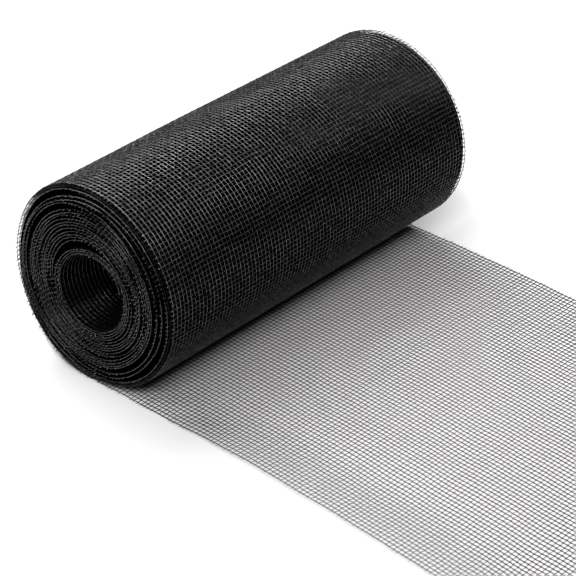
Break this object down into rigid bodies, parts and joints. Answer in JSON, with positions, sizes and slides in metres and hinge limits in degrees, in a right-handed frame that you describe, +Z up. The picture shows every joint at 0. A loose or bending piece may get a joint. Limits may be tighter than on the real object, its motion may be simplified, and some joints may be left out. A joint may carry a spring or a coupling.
{
  "type": "roll of wire screen mesh",
  "caption": "Roll of black woven wire screen mesh, wound round an open middle, with its loose end run out flat.",
  "frame": {"origin": "middle of the foot print of the roll and its loose end, on the surface that they lie on", "axes": "+X along the loose end, away from the roll; +Y along the roll's axis; +Z up"},
  "size_m": [0.2372, 0.1584, 0.0742],
  "materials": {
    "black_wire": "round steel wire with a thin black coating, satin, with a pale glint along each wire where the light falls on it"
  },
  "bodies": {
    "root": {"wound_roll": "black_wire", "loose_end": "black_wire"}
  },
  "joints": []
}
